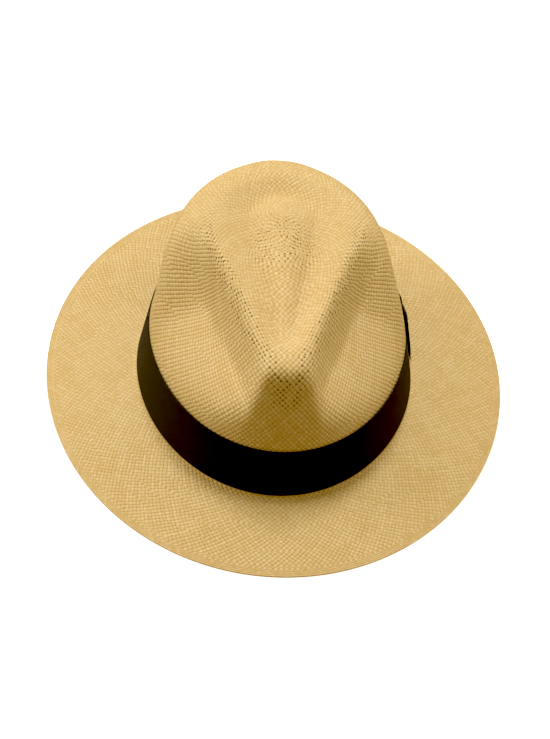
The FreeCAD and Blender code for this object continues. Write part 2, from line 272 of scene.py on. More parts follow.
class RibbonSettings(PropertyGroup):
    """Sizes and colours of the ribbon band and its bow."""

    height: size("Height", "Width of the ribbon", 32.8 * MM)
    thickness: size("Thickness", "Thickness of the ribbon", 0.5 * MM)
    lap: size("Lap", "How far the band's end laps over its start", 14.0 * MM)
    tail_length: size("Tail Length", "Length of the flat ribbon behind the bow", 58.0 * MM)
    notch: size("Notch", "Depth of the notch in the tail's ends", 5.0 * MM)
    loop_length: size("Loop Length", "Length of the folded bow", 48.0 * MM)
    loop_height: size("Loop Height", "Height of the folded bow", 30.0 * MM)
    knot_width: size("Knot Width", "Width of the ribbon round the bow's middle", 15.0 * MM)
    shade: colour("Ribbon", "Colour of the ribbon", "484542")


class SweatbandSettings(PropertyGroup):
    """Sizes and colours of the leather sweatband inside the crown."""

    height: size("Height", "Height of the leather band", 32.0 * MM)
    thickness: size("Thickness", "Thickness of the leather", 0.8 * MM)
    reed: size("Reed Radius", "Radius of the cloth-covered reed", 0.9 * MM)
    tape_width: size("Tape Width", "Width of the tape over the joint", 16.0 * MM)
    tape_thickness: size("Tape Thickness", "Thickness of the tape over the joint", 0.4 * MM)
    leather: colour("Leather", "Colour of the leather", "8A5A34")
    thread: colour("Thread", "Colour of the sewing thread", "D9BE90")


class StageSettings(PropertyGroup):
    """Floor and lights."""

    floor: size("Floor", "Half width of the floor", 6.0)
    key_power: FloatProperty(
        name="Key Power", description="Power of the softbox above the hat", default=15.8, unit="POWER"
    )
    left_power: FloatProperty(
        name="Left Power", description="Power of the softbox on the left", default=10.0, unit="POWER"
    )
    right_power: FloatProperty(
        name="Right Power", description="Power of the softbox on the right", default=4.6, unit="POWER"
    )
    black_point: FloatProperty(
        name="Black Point", description="Brightness that is shown as black", default=0.035, min=0, max=0.2
    )
    backdrop: colour("Floor Colour", "Colour of the floor", "F6F6F6")


# ---------------------------------------------------------------- crown and brim formula


def smooth(low, high, value):
    """0 below low, 1 above high and an even S-curve between them."""
    share = np.clip((value - low) / (high - low), 0.0, 1.0)
    return share * share * (3 - 2 * share)


def soft_max(first, second, reach):
    """The larger of two values, rounded off where they are closer than reach."""
    near = np.maximum(reach - np.abs(first - second), 0.0) / reach
    return np.maximum(first, second) + near ** 3 * reach / 6


def round_hat(front, side, back, angle):
    """A value that runs evenly from the front through the side to the back."""
    mean = (front + 2 * side + back) / 4
    return mean + (front - back) / 2 * np.cos(angle) + (front - 2 * side + back) / 4 * np.cos(2 * angle)


def teardrop(x, y, tip_y, tip_radius, rear_y, rear_radius):
    """Distance to the outline round two circles on the centre line, negative inside."""
    length = rear_y - tip_y
    lean = (tip_radius - rear_radius) / length
    rise = math.sqrt(1 - lean * lean)
    across = np.abs(x)
    along = y - tip_y
    place = rise * along - lean * across
    side = rise * across + lean * along - tip_radius
    tip = np.hypot(across, along) - tip_radius
    rear = np.hypot(across, along - length) - rear_radius
    return np.where(place < 0, tip, np.where(place > rise * length, rear, side))


def oval_axes(z):
    """Half length and half width of the crown wall at a height."""
    curve = TAPER_CURVE * z * z
    return HALF_LENGTH - LENGTH_TAPER * z - curve, HALF_WIDTH - WIDTH_TAPER * z - curve


def wall_distance(x, y, z):
    """Distance outside the crown wall, whose front leans back towards the nose."""
    length, width = oval_axes(z)
    beside = smooth(NOSE_LEAN_HALF, NOSE_LEAN_FLANK, np.abs(x))
    lean = NOSE_LEAN * smooth(NOSE_LEAN_LOW, LEAN_HIGH, z) * (1 - beside)
    length = length - lean * (y < 0)
    x = x - CROWN_LEAN * smooth(LEAN_LOW, LEAN_HIGH, z)
    reach = np.hypot(x, y)
    return reach - reach / np.maximum(np.hypot(x / width, y / length), 1e-9)


def top_height(straw, x, y):
    """Height of the crown's top: ridge, groove, island and the two side dents."""
    outside = teardrop(x, y, NOSE_Y, NOSE_RADIUS, REAR_Y, REAR_RADIUS)
    island = teardrop(x, y, ISLAND_TIP_Y, ISLAND_TIP_RADIUS, ISLAND_REAR_Y, ISLAND_REAR_RADIUS)
    shallow = 1 - GROOVE_FADE * smooth(GROOVE_FADE_Y, GROOVE_LOW_Y, y)
    depth = straw.groove_depth * smooth(GROOVE_START_Y, GROOVE_FULL_Y, y) * shallow
    share = np.maximum(island, 0) / (np.maximum(island, 0) - np.minimum(outside, -1e-6))
    groove = depth * (1 - smooth(0.0, GROOVE_WALL, share))
    along = np.clip((y - ISLAND_TIP_Y) / (ISLAND_REAR_Y - ISLAND_TIP_Y), 0, 1)
    radius = ISLAND_TIP_RADIUS + (ISLAND_REAR_RADIUS - ISLAND_TIP_RADIUS) * along
    inward = np.clip(-island / radius, 0, 1)
    mound = straw.island_rise * inward * (2 - inward) * smooth(ISLAND_START_Y, 0, y)
    beside_nose = smooth(PILLAR_HALF, PILLAR_FLANK, np.abs(x))
    fade = 1 - smooth(DENT_FADE_Y, DENT_END_Y, y)
    dent = straw.dent_depth * fade * beside_nose * smooth(DENT_INNER, DENT_OUTER, outside)
    slope = DENT_SLOPE * np.maximum(outside, 0) * beside_nose * (SLOPE_KEPT + (1 - SLOPE_KEPT) * fade)
    ridge = straw.nose_height + straw.ridge_rise * smooth(RIDGE_START_Y, RIDGE_END_Y, y)
    return ridge - groove + mound - dent - slope


def crown_distance(straw, x, y, z):
    """Negative inside the crown and positive outside it."""
    reach = DENT_ROUNDING + (REAR_ROUNDING - DENT_ROUNDING) * smooth(0, REAR_FULL_Y, y)
    nose = smooth(NOSE_START_Y, NOSE_FULL_Y, y) * (1 - smooth(NOSE_HALF, NOSE_FLANK, np.abs(x)))
    reach = reach + (NOSE_ROUNDING - reach) * nose
    return soft_max(wall_distance(x, y, z), z - top_height(straw, x, y), reach)


def break_height(angle):
    """Height at which the brim leaves the crown."""
    return BREAK_LEVEL + BREAK_SIDE_RISE * np.sin(angle) ** 2


def outward(angle):
    """Level direction square to the head oval."""
    x = HALF_LENGTH * np.sin(angle)
    y = -HALF_WIDTH * np.cos(angle)
    reach = np.hypot(x, y)
    return x / reach, y / reach


def oval_point(angle, z, offset):
    """A point on the head oval at a height, moved outwards by offset."""
    length, width = oval_axes(z)
    out_x, out_y = outward(angle)
    x = width * np.sin(angle) + offset * out_x
    y = -length * np.cos(angle) + offset * out_y
    return np.stack([x, y, z + 0 * angle], -1)


def wall_strip(angles, low, height, offset, rows):
    """Rows of points on the crown wall, from the upper edge of a strip to its lower edge."""
    levels = [low + height * (1 - row / rows) for row in range(rows + 1)]
    return np.array([oval_point(angles, z, offset) for z in levels])


def even_angles(count):
    """Angles that divide the head oval into equal lengths, from the front round to it again."""
    fine = np.linspace(0, TURN, 4001)  # steps of about 0.14 mm
    steps = np.hypot(np.diff(HALF_WIDTH * np.sin(fine)), np.diff(HALF_LENGTH * np.cos(fine)))
    travelled = np.concatenate([[0.0], np.cumsum(steps)])
    return np.interp(np.linspace(0, travelled[-1], count + 1), travelled, fine)


def crown_points(straw, angles):
    """Points down the crown from the weave centre to its foot, evenly spaced on each line."""
    foot = oval_point(angles, break_height(angles) + BREAK_RADIUS, 0)
    run_x = foot[:, 0]
    run_y = foot[:, 1] - WEAVE_CENTRE_Y
    towards = np.unwrap(np.arctan2(run_x, -run_y))
    even = np.linspace(0, TURN, len(angles))
    share = np.linspace(0, 1, RAY_STEPS)[:, None]
    heading = even + (towards - even) * smooth(0.1, 0.85, share)
    turn = (math.pi / 2 + np.arctan2(RAY_FOOT - foot[:, 2], np.hypot(run_x, run_y))) * share
    step = np.stack([np.sin(turn) * np.sin(heading), -np.sin(turn) * np.cos(heading), np.cos(turn)], -1)
    near = np.full(turn.shape, NEAREST_RAY)
    far = np.full(turn.shape, FARTHEST_RAY)
    for _ in range(RAY_HALVINGS):
        middle = (near + far) / 2
        x, y, z = [middle * step[..., axis] for axis in range(3)]
        inside = crown_distance(straw, x, y + WEAVE_CENTRE_Y, z + RAY_FOOT) < 0
        near = np.where(inside, middle, near)
        far = np.where(inside, far, middle)
    dense = near[..., None] * step + np.array([0, WEAVE_CENTRE_Y, RAY_FOOT])
    travelled = np.zeros(turn.shape)
    travelled[1:] = np.cumsum(np.linalg.norm(np.diff(dense, axis=0), axis=2), axis=0)
    rows = np.empty((CROWN_ROWS + 1, len(angles), 3))
    for column in range(len(angles)):
        stops = np.linspace(0, travelled[-1, column], CROWN_ROWS + 1)
        for axis in range(3):
            rows[:, column, axis] = np.interp(stops, travelled[:, column], dense[:, column, axis])
    return rows


def brim_points(straw, angles):
    """Points from the crown's foot round the break and out to the brim's edge."""
    out_x, out_y = outward(angles)
    low = break_height(angles)
    foot = oval_point(angles, low + BREAK_RADIUS, 0)
    full = round_hat(straw.brim_front, straw.brim_side, straw.brim_back, angles)
    full = full + BRIM_LEFT_EXTRA * np.sin(angles)
    edge = round_hat(-straw.front_drop, EDGE_SIDE, EDGE_BACK, angles)
    rows = []
    for row in range(1, BREAK_ROWS + 1):
        turn = math.pi / 2 * row / BREAK_ROWS
        width = BREAK_RADIUS * (1 - math.cos(turn)) + 0 * angles
        rows.append((width, low + BREAK_RADIUS * (1 - math.sin(turn))))
    for row in range(1, BRIM_ROWS + 1):
        share = row / BRIM_ROWS
        width = BREAK_RADIUS + (full - BREAK_RADIUS) * share
        rows.append((width, low + (edge - low) * share))
    points = [
        np.stack([foot[:, 0] + width * out_x, foot[:, 1] + width * out_y, z], -1) for width, z in rows
    ]
    return np.array(points)


# ---------------------------------------------------------------- modelling helpers


def deselect_all():
    """Leaves nothing selected, so that an operator acts on one piece."""
    for thing in bpy.context.selected_objects:
        thing.select_set(False)


def choose(piece):
    """Makes a piece the only selected and active object."""
    deselect_all()
    piece.select_set(True)
    bpy.context.view_layer.objects.active = piece


def add_grid(name, columns, rows):
    """A flat grid primitive, to be laid onto a surface."""
    deselect_all()
    bpy.ops.mesh.primitive_grid_add(x_subdivisions=columns, y_subdivisions=rows, size=1.0)
    piece = bpy.context.active_object
    piece.name = name
    piece.data.name = name
    return piece


def lay_grid(piece, points):
    """Moves each point of a grid to its place, from its top row down: rows by columns by 3."""
    rows, columns = points.shape[:2]
    flat = np.empty(len(piece.data.vertices) * 3)
    piece.data.vertices.foreach_get("co", flat)
    flat = flat.reshape(-1, 3)
    column = np.rint((flat[:, 0] + 0.5) * (columns - 1)).astype(int)
    row = np.rint((0.5 - flat[:, 1]) * (rows - 1)).astype(int)
    piece.data.vertices.foreach_set("co", points[row, column].ravel())
    piece.data.update()
    return row, column


def merge_seams(piece):
    """Joins the points that meet at a seam or a pole."""
    choose(piece)
    bpy.ops.object.mode_set(mode="EDIT")
    bpy.ops.mesh.select_all(action="SELECT")
    bpy.ops.mesh.remove_doubles(threshold=1e-6)
    bpy.ops.object.mode_set(mode="OBJECT")


def apply_modifier(piece, kind, **settings):
    """Adds a modifier with its settings and applies it."""
    choose(piece)
    modifier = piece.modifiers.new(kind.title(), kind)
    for name, value in settings.items():
        setattr(modifier, name, value)
    bpy.ops.object.modifier_apply(modifier=modifier.name)


def add_sheet(name, points, thickness, side=0.0):
    """A sheet with a thickness from rows of points, top row first, and a map in metres."""
    rows, columns = points.shape[:2]
    piece = add_grid(name, columns - 1, rows - 1)
    row, _ = lay_grid(piece, points)
    along = np.linalg.norm(np.diff(points, axis=1), axis=2).sum(axis=1).mean()
    across = np.linalg.norm(np.diff(points, axis=0), axis=2).sum(axis=0).mean()
    layer = piece.data.uv_layers[0]
    layer.name = "Weave"
    flat = np.empty(len(piece.data.loops) * 2)
    layer.data.foreach_get("uv", flat)
    layer.data.foreach_set("uv", (flat.reshape(-1, 2) * np.array([along, across])).ravel())
    edge = np.minimum(row, rows - 1 - row) * across / (rows - 1)
    piece.data.attributes.new("selvedge", "FLOAT", "POINT").data.foreach_set("value", edge)
    merge_seams(piece)
    if thickness:
        apply_modifier(piece, "SOLIDIFY", thickness=thickness, offset=side, use_even_offset=True)
    return piece


def add_stitch(name, middle, along, outwards, length):
    """One short thread that rises from the cloth, lies along it and dives in again."""
    deselect_all()
    bpy.ops.mesh.primitive_uv_sphere_add(
        segments=STITCH_SIDES, ring_count=STITCH_SIDES, radius=THREAD_RADIUS
    )
    thread = bpy.context.active_object
    thread.name = name
    side = along.cross(outwards)
    reach = length / 2
    for point in thread.data.vertices:
        share = point.co.z / THREAD_RADIUS
        sink = share ** 4 * STITCH_SINK * THREAD_RADIUS
        across = point.co.x
        lift = point.co.y - sink
        point.co = middle + along * (share * reach) + side * across + outwards * lift
    return thread


def join_pieces(name, pieces):
    """Makes one piece of several."""
    deselect_all()
    for piece in pieces:
        piece.select_set(True)
    bpy.context.view_layer.objects.active = pieces[0]
    bpy.ops.object.join()
    joined = bpy.context.active_object
    joined.name = name
    joined.data.name = name
    return joined


def finish_piece(piece, material, slot, *nodes, angle=40):
    """Shades a piece, gives it its material and puts it on the frame in place of its nodes."""
    choose(piece)
    bpy.ops.object.shade_smooth_by_angle(angle=math.radians(angle))
    piece.data.materials.clear()
    piece.data.materials.append(material)
    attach(piece, "root")
    if nodes:
        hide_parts(*nodes)
    return piece


def add_node(tree, kind, inputs=(), out=0, **settings):
    """Adds a shader node with its settings and links and gives back one of its outputs."""
    made = tree.nodes.new(kind)
    for name, value in settings.items():
        setattr(made, name, value)
    for socket, value in dict(inputs).items():
        if isinstance(value, bpy.types.NodeSocket):
            tree.links.new(value, made.inputs[socket])
        else:
            made.inputs[socket].default_value = value
    return made.outputs[out]


def new_material(name):
    """A material with only a surface shader and its output."""
    material = bpy.data.materials.new(name)
    material.use_nodes = True
    tree = material.node_tree
    tree.nodes.clear()
    output = tree.nodes.new("ShaderNodeOutputMaterial")
    shader = tree.nodes.new("ShaderNodeBsdfPrincipled")
    tree.links.new(shader.outputs["BSDF"], output.inputs["Surface"])
    return material, tree, shader


def figure(tree, operation, *values):
    """One step of arithmetic on values or sockets."""
    return add_node(tree, "ShaderNodeMath", enumerate(values), operation=operation)


def product(tree, first, second):
    """One value or socket times another."""
    return figure(tree, "MULTIPLY", first, second)


def rest_of(tree, share):
    """What is left of 1."""
    return figure(tree, "SUBTRACT", 1.0, share)


def wave(tree, value):
    """0 at whole numbers and 1 halfway between them, in straight lines."""
    return product(tree, figure(tree, "PINGPONG", value, 0.5), 2.0)


def ramp(tree, value, low, high):
    """0 at low, 1 at high and an even slope between them."""
    return add_node(tree, "ShaderNodeMapRange", {"Value": value, "From Min": low, "From Max": high})


def mix_values(tree, share, first, second):
    """A value between two others."""
    return add_node(tree, "ShaderNodeMix", {"Factor": share, "A": first, "B": second}, data_type="FLOAT")


def mix_colours(tree, share, first, second):
    """A colour between two others."""
    inputs = {"Factor": share, "A": first, "B": second}
    return add_node(tree, "ShaderNodeMix", inputs, out=2, data_type="RGBA")


def clouds(tree, place, width, detail):
    """Soft clouds of a width."""
    return add_node(tree, "ShaderNodeTexNoise", {"Vector": place, "Scale": 1 / width, "Detail": detail})


def object_place(tree):
    """Where a point lies on its piece, in metres."""
    return add_node(tree, "ShaderNodeTexCoord", out="Object")


def woven_place(tree):
    """Where a point lies on the map of the weave: along a row and across the rows."""
    weave = add_node(tree, "ShaderNodeUVMap", uv_map="Weave")
    along = add_node(tree, "ShaderNodeSeparateXYZ", {0: weave}, out="X")
    return along, along.node.outputs["Y"]


def dress(tree, shader, tone, relief, strength, depth, finish):
    """Gives a surface its colour, its relief and the values of its finish."""
    bump = add_node(tree, "ShaderNodeBump", {"Height": relief, "Strength": strength, "Distance": depth})
    tree.links.new(tone, shader.inputs["Base Color"])
    tree.links.new(bump, shader.inputs["Normal"])
    for name, value in finish.items():
        shader.inputs[name].default_value = value


# ---------------------------------------------------------------- materials


def woven_straw(straw):
    """Toquilla palm straw, split fine and woven over and under, bleached and pressed.

    The eye sees small pillows in diagonal rows, darker lines between them (the strands' own gaps, with
    painted shade in the valleys), pin-holes where four strands meet (painted dark as painted shade seen
    through them), strands of slightly different ripeness and a soft dry sheen.
    """
    side_fall, dive_fall = 3.5, 2.2
    valley_shade_depth, valley_shade_floor = 0.42, 0.6
    hole_reach, hole_edge, hole_blur = 0.36, 1.02, 0.12
    hole_painted_shade, hole_depth = 0.7, 0.6
    strand_share, cloud_share = 0.55, 0.45
    chance_spread, chance_least = 1.1, 0.1
    rim_valley_shade, rim_relief = 0.15, 0.6
    cloud_width = 35 * MM
    material, tree, shader = new_material("woven_toquilla_straw")
    around, down = woven_place(tree)
    strands = add_node(tree, "ShaderNodeAttribute", attribute_name="strands", out="Fac")
    openness = add_node(tree, "ShaderNodeAttribute", attribute_name="openness", out="Fac")
    first = product(tree, strands, figure(tree, "ADD", around, down))
    second = product(tree, strands, figure(tree, "SUBTRACT", around, down))
    first_count = figure(tree, "FLOOR", first)
    second_count = figure(tree, "FLOOR", second)
    first_place = figure(tree, "SUBTRACT", figure(tree, "FRACT", first), 0.5)
    second_place = figure(tree, "SUBTRACT", figure(tree, "FRACT", second), 0.5)
    over = figure(tree, "PINGPONG", figure(tree, "ADD", first_count, second_count), 1.0)
    across = mix_values(tree, over, first_place, second_place)
    along = mix_values(tree, over, second_place, first_place)
    side = product(tree, product(tree, across, across), side_fall)
    dive = product(tree, product(tree, along, along), dive_fall)
    pillow = product(tree, rest_of(tree, side), rest_of(tree, dive))
    corner = figure(tree, "ADD", figure(tree, "ABSOLUTE", across), figure(tree, "ABSOLUTE", along))
    nearest = {0: figure(tree, "ROUND", first), 1: figure(tree, "ROUND", second)}
    crossing = add_node(tree, "ShaderNodeCombineXYZ", nearest)
    chance = add_node(tree, "ShaderNodeTexWhiteNoise", {"Vector": crossing}, noise_dimensions="2D")
    open_here = product(tree, openness, figure(tree, "MULTIPLY_ADD", chance, chance_spread, chance_least))
    hole_start = figure(tree, "SUBTRACT", hole_edge, product(tree, open_here, hole_reach))
    hole = ramp(tree, corner, hole_start, figure(tree, "ADD", hole_start, hole_blur))
    first_tone = add_node(tree, "ShaderNodeTexWhiteNoise", {"W": first_count}, noise_dimensions="1D")
    between = figure(tree, "ADD", second_count, 0.5)
    second_tone = add_node(tree, "ShaderNodeTexWhiteNoise", {"W": between}, noise_dimensions="1D")
    tone = mix_values(tree, over, first_tone, second_tone)
    cloud = clouds(tree, object_place(tree), cloud_width, 2.0)
    ripeness = figure(tree, "ADD", product(tree, tone, strand_share), product(tree, cloud, cloud_share))
    strand = mix_colours(tree, ripeness, list(straw.light), list(straw.deep))
    # Painted shade: the valleys between the pillows darken towards the gap colour, partly the strands'
    # own dark gaps and partly painted shade in the recesses
    valley_shade = product(tree, rest_of(tree, ramp(tree, pillow, 0.0, valley_shade_floor)), valley_shade_depth)
    seam = mix_colours(tree, valley_shade, strand, list(straw.gap))
    # Painted shade: the pin-holes are painted dark brown (5A3A08) for the shade seen through them into
    # the crown
    with_shaded_holes = mix_colours(tree, product(tree, hole, hole_painted_shade), seam, linear("5A3A08"))
    at_edge, cord = rim_braid(tree, straw, around)
    # Painted shade: the rim's braid darkens towards the gap colour between its cords
    rim = mix_colours(tree, product(tree, rest_of(tree, cord), rim_valley_shade), strand, list(straw.gap))
    face = mix_colours(tree, at_edge, with_shaded_holes, rim)
    height = mix_values(tree, at_edge, pillow, product(tree, cord, rim_relief))
    sunk = figure(tree, "SUBTRACT", height, product(tree, hole, hole_depth))
    dry = {"Roughness": 0.62, "Specular IOR Level": 0.35}
    dress(tree, shader, face, sunk, strength=1.0, depth=0.45 * MM, finish=dry)
    return material


def rim_braid(tree, straw, around):
    """Where the back-woven edge is, and its fine strands that run slanted along the rim."""
    strands_round, slant_share, strand_width, blur = 420.0, 0.5, 1.1 * MM, 0.3 * MM
    inset = add_node(tree, "ShaderNodeAttribute", attribute_name="inset", out="Fac")
    zigzag = figure(tree, "PINGPONG", product(tree, around, strands_round), 0.5)
    slant = product(tree, zigzag, slant_share)
    braid = figure(tree, "FRACT", figure(tree, "ADD", product(tree, inset, 1 / strand_width), slant))
    at_edge = ramp(tree, inset, straw.edge_band + blur, straw.edge_band - blur)
    return at_edge, wave(tree, braid)


def grosgrain(ribbon):
    """Grosgrain ribbon of rayon and cotton: matte, near black, with fine ribs across it."""
    rib_pitch, thread_pitch = 0.8 * MM, 0.35 * MM
    material, tree, shader = new_material("woven_grosgrain_ribbon")
    along, across = woven_place(tree)
    rib_relief_and_shade = wave(tree, product(tree, along, 1 / rib_pitch))
    thread = figure(tree, "PINGPONG", product(tree, across, 1 / thread_pitch), 0.5)
    # Painted shade: the ribs' valleys are painted darker (2D2B29) than their crests
    tone = mix_colours(tree, rib_relief_and_shade, linear("2D2B29"), list(ribbon.shade))
    relief = figure(tree, "ADD", rib_relief_and_shade, product(tree, thread, 0.4))
    matte = {"Roughness": 0.75, "Specular IOR Level": 0.25}
    sheen = {"Sheen Weight": 0.06, "Sheen Roughness": 0.5, "Sheen Tint": linear("A87A3C")}
    dress(tree, shader, tone, relief, strength=0.7, depth=0.15 * MM, finish=matte | sheen)
    return material


def sewing_thread(name, shade):
    """Twisted sewing thread: a fine slanted twist along each stitch."""
    twist_length, twist_shade_share = 1.2 * MM, 0.45
    material, tree, shader = new_material(name)
    inputs = {"Vector": object_place(tree), "Scale": 1 / twist_length, "Distortion": 1.0}
    twist = add_node(tree, "ShaderNodeTexWave", inputs, out="Fac", bands_direction="DIAGONAL")
    twist_shade = [twist_shade_share * value for value in shade[:3]] + [1.0]
    # Painted shade: the twist's grooves are painted darker, at 45% of the thread's colour
    tone = mix_colours(tree, twist, twist_shade, list(shade))
    waxed = {"Roughness": 0.55, "Sheen Weight": 0.1}
    dress(tree, shader, tone, twist, strength=0.6, depth=0.1 * MM, finish=waxed)
    return material


def sweatband_leather(lining):
    """Vegetable-tanned sheepskin, skived thin and glazed: fine pebbled grain and a low shine."""
    grain_size, fine_size, cloud_size = 0.9 * MM, 0.5 * MM, 18 * MM
    groove_inset, groove_half, worn_share, deep_share = 3.2 * MM, 0.35 * MM, 0.35, 0.55
    material, tree, shader = new_material("glazed_sheepskin_leather")
    place = object_place(tree)
    pebbles = {"Vector": place, "Scale": 1 / grain_size}
    cells = add_node(tree, "ShaderNodeTexVoronoi", pebbles, out="Distance")
    fine = clouds(tree, place, fine_size, 3.0)
    cloud = clouds(tree, place, cloud_size, 4.0)
    edge = add_node(tree, "ShaderNodeAttribute", attribute_name="selvedge", out="Fac")
    worn = ramp(tree, edge, 1.5 * MM, 0.2 * MM)
    deep = [deep_share * value for value in lining.leather[:3]] + [1.0]
    blotched = mix_colours(tree, cloud, deep, list(lining.leather))
    tone = mix_colours(tree, product(tree, worn, worn_share), blotched, linear("B98A5C"))
    beside = figure(tree, "ABSOLUTE", figure(tree, "SUBTRACT", edge, groove_inset))
    groove = ramp(tree, beside, 0.0, groove_half)
    grain = figure(tree, "ADD", product(tree, cells, 0.7), product(tree, fine, 0.5))
    gloss = ramp(tree, cloud, 0.3, 0.7)
    gloss.node.inputs["To Min"].default_value = 0.36
    gloss.node.inputs["To Max"].default_value = 0.52
    relief = figure(tree, "ADD", grain, groove)
    dress(tree, shader, tone, relief, strength=0.5, depth=0.12 * MM, finish={})
    tree.links.new(gloss, shader.inputs["Roughness"])
    return material


def cotton_tape():
    """Plain-woven cotton tape, dyed brown: matte, with a fine even weave."""
    yarn_pitch = 0.8 * MM
    material, tree, shader = new_material("plain_woven_cotton_tape")
    along, across = woven_place(tree)
    warp = figure(tree, "SINE", product(tree, along, TURN / yarn_pitch))
    weft = figure(tree, "SINE", product(tree, across, TURN / yarn_pitch))
    relief = figure(tree, "ADD", product(tree, product(tree, warp, weft), 0.5), 0.5)
    # Painted shade: the weave's low parts are painted darker (3A2412) and its raised yarns lighter
    # (6B4A2C)
    tone = mix_colours(tree, relief, linear("3A2412"), linear("6B4A2C"))
    fuzzy = {"Roughness": 0.85, "Sheen Weight": 0.2}
    dress(tree, shader, tone, relief, strength=0.7, depth=0.12 * MM, finish=fuzzy)
    return material


# ---------------------------------------------------------------- pieces


def weave_rings(points, pitch):
    """How far each row lies down the weave, and how many strands cross each row of faces."""
    steps = np.linalg.norm(np.diff(points, axis=0), axis=2).mean(axis=1)
    rounds = np.linalg.norm(np.diff(points, axis=1), axis=2).sum(axis=1)
    middle = np.maximum((rounds[1:] + rounds[:-1]) / 2, SHORTEST_ROUND)
    down = np.concatenate([[0.0], np.cumsum(steps / middle)])
    strands = np.empty(len(middle))
    wanted = middle / (pitch * math.sqrt(2))
    held = 0.0
    for row, want in enumerate(wanted):
        if held == 0 or abs(want / held - 1) > WIDENING:
            held = 2 * round(want / 2)
        strands[row] = held
    return down, strands


class HAT_OT_straw_body(Operator):
    """Model the crown and brim, woven in one piece."""

    bl_idname = "hat.straw_body"
    bl_label = "Straw Body"

    def execute(self, context):
        straw = context.scene.hat_straw
        angles = even_angles(COLUMNS)
        points = np.concatenate([crown_points(straw, angles), brim_points(straw, angles)])
        body = add_grid("straw_body", COLUMNS, len(points) - 1)
        row, column = lay_grid(body, points)
        self.mark_weave(body, straw, points, row, column)
        merge_seams(body)
        apply_modifier(body, "SOLIDIFY", thickness=straw.thickness, offset=-1.0, use_even_offset=True)
        finish_piece(body, woven_straw(straw), "straw", "hat_body", angle=60)
        return {"FINISHED"}

    def mark_weave(self, body, straw, points, row, column):
        """Stores on the mesh where the strands run, where they part and how far the rim is."""
        down, strands = weave_rings(points, straw.pitch)
        mesh = body.data
        layer = mesh.uv_layers[0]
        layer.name = "Weave"
        flat = np.empty(len(mesh.loops) * 2)
        layer.data.foreach_get("uv", flat)
        flat = flat.reshape(-1, 2)
        loop_row = (1 - flat[:, 1]) * (len(points) - 1)
        flat[:, 1] = down[np.rint(loop_row).astype(int)]
        layer.data.foreach_set("uv", flat.ravel())
        face_row = np.floor(loop_row.reshape(-1, 4).mean(axis=1)).astype(int)
        mesh.attributes.new("strands", "FLOAT", "FACE").data.foreach_set("value", strands[face_row])
        placed = points[row, column]
        outside = teardrop(placed[:, 0], placed[:, 1], NOSE_Y, NOSE_RADIUS, REAR_Y, REAR_RADIUS)
        front = 1 - smooth(OPEN_FRONT_Y, OPEN_END_Y, placed[:, 1])
        ridge = (1 - smooth(OPEN_LINE_HALF, OPEN_LINE_FADE, np.abs(outside + OPEN_LINE))) * front
        from_centre = np.hypot(placed[:, 0], placed[:, 1] - OPEN_CENTRE_Y)
        centre = 1 - smooth(OPEN_CENTRE, OPEN_CENTRE_FADE, from_centre)
        parted = np.maximum(ridge, centre) * (placed[:, 2] > OPEN_LOWEST)
        openness = LEAST_OPEN + (1 - LEAST_OPEN) * parted
        mesh.attributes.new("openness", "FLOAT", "POINT").data.foreach_set("value", openness)
        widths = np.linalg.norm(points - points[-1:], axis=2)
        mesh.attributes.new("inset", "FLOAT", "POINT").data.foreach_set("value", widths[row, column])


def ribbon_low(angle):
    """Height of the ribbon's lower edge."""
    return break_height(angle) + RIBBON_LIFT


def bow_point(along, z, offset):
    """A point beside the middle of the bow: along the band, at a height and off the straw."""
    along, z, offset = np.broadcast_arrays(along, z, offset)
    return oval_point(BOW_ANGLE + along / HALF_LENGTH, z, offset)


def bow_levels(ribbon):
    """Offsets from the straw of the tail's and the loop's inner faces."""
    tail = RIBBON_GAP + 2 * (ribbon.thickness + LAYER_GAP)
    return tail, tail + ribbon.thickness + LAYER_GAP


class HAT_OT_ribbon_band(Operator):
    """Model the ribbon round the crown."""

    bl_idname = "hat.ribbon_band"
    bl_label = "Ribbon Band"

    def execute(self, context):
        ribbon = context.scene.hat_ribbon
        lap = ribbon.lap / HALF_LENGTH
        first = BOW_ANGLE - lap / 2
        last = first + TURN + lap
        angles = np.linspace(first, last, ROUND_COLUMNS + 1)
        raised = smooth(last - 2 * lap, last - lap, angles)
        offset = RIBBON_GAP + (ribbon.thickness + LAYER_GAP) * raised + ribbon.thickness
        points = wall_strip(angles, ribbon_low(angles), ribbon.height, offset, BAND_ROWS)
        band = add_sheet("ribbon_band", points, ribbon.thickness, side=-1.0)
        finish_piece(band, grosgrain(ribbon), "ribbon", "hat_band")
        return {"FINISHED"}


